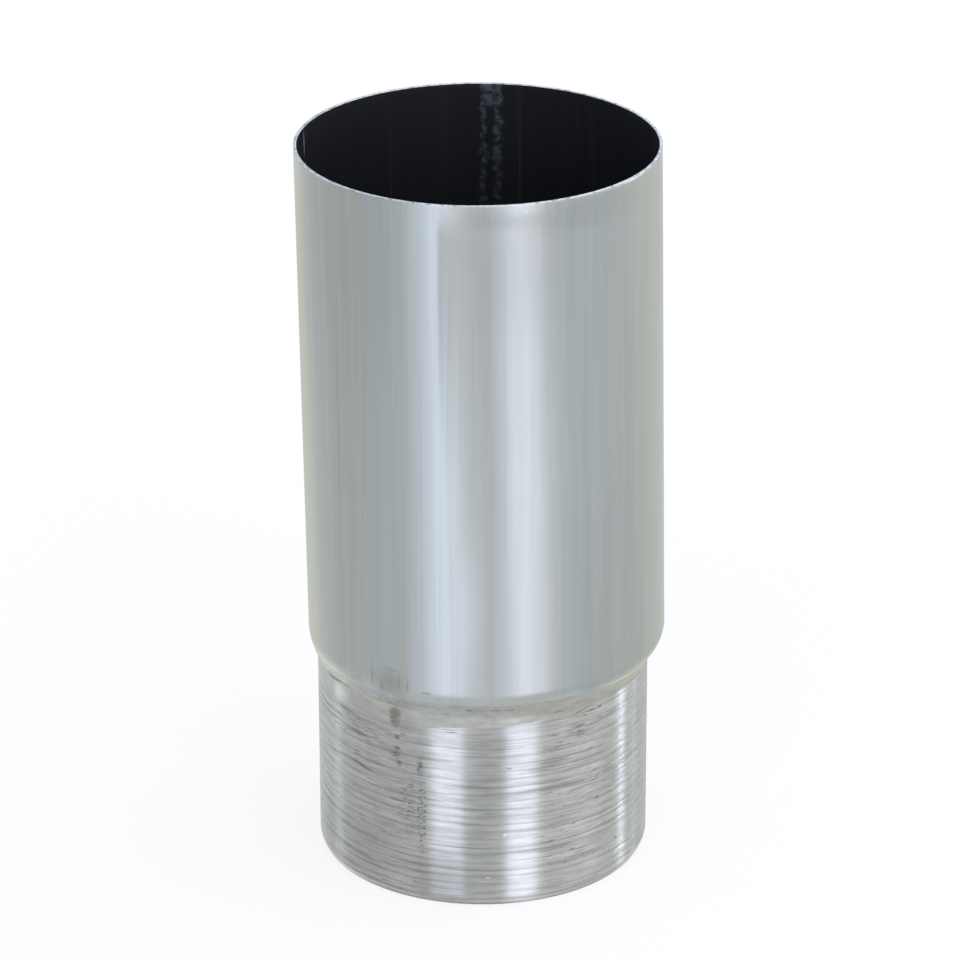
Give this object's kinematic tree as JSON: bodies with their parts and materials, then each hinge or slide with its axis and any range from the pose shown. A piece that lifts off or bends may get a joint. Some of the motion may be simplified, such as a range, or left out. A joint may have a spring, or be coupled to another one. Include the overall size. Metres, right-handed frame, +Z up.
{
  "type": "extended socket",
  "caption": "Long sheet-metal downpipe socket: a wide open tube that necks down over a rounded shoulder to a ringed spigot.",
  "frame": {"origin": "centre of the spigot's end ring, which the part stands on", "axes": "+Z up along the tube from the spigot to the socket's mouth; the inner weld runs along the +Y side, and the socket leans very slightly towards -X"},
  "size_m": [0.0837, 0.082, 0.1712],
  "materials": {
    "rolled_zinc": "bright rolled zinc sheet, drawn lengthwise on the body and ring-rolled on the spigot"
  },
  "bodies": {
    "root": {"socket_body": "rolled_zinc"}
  },
  "joints": []
}
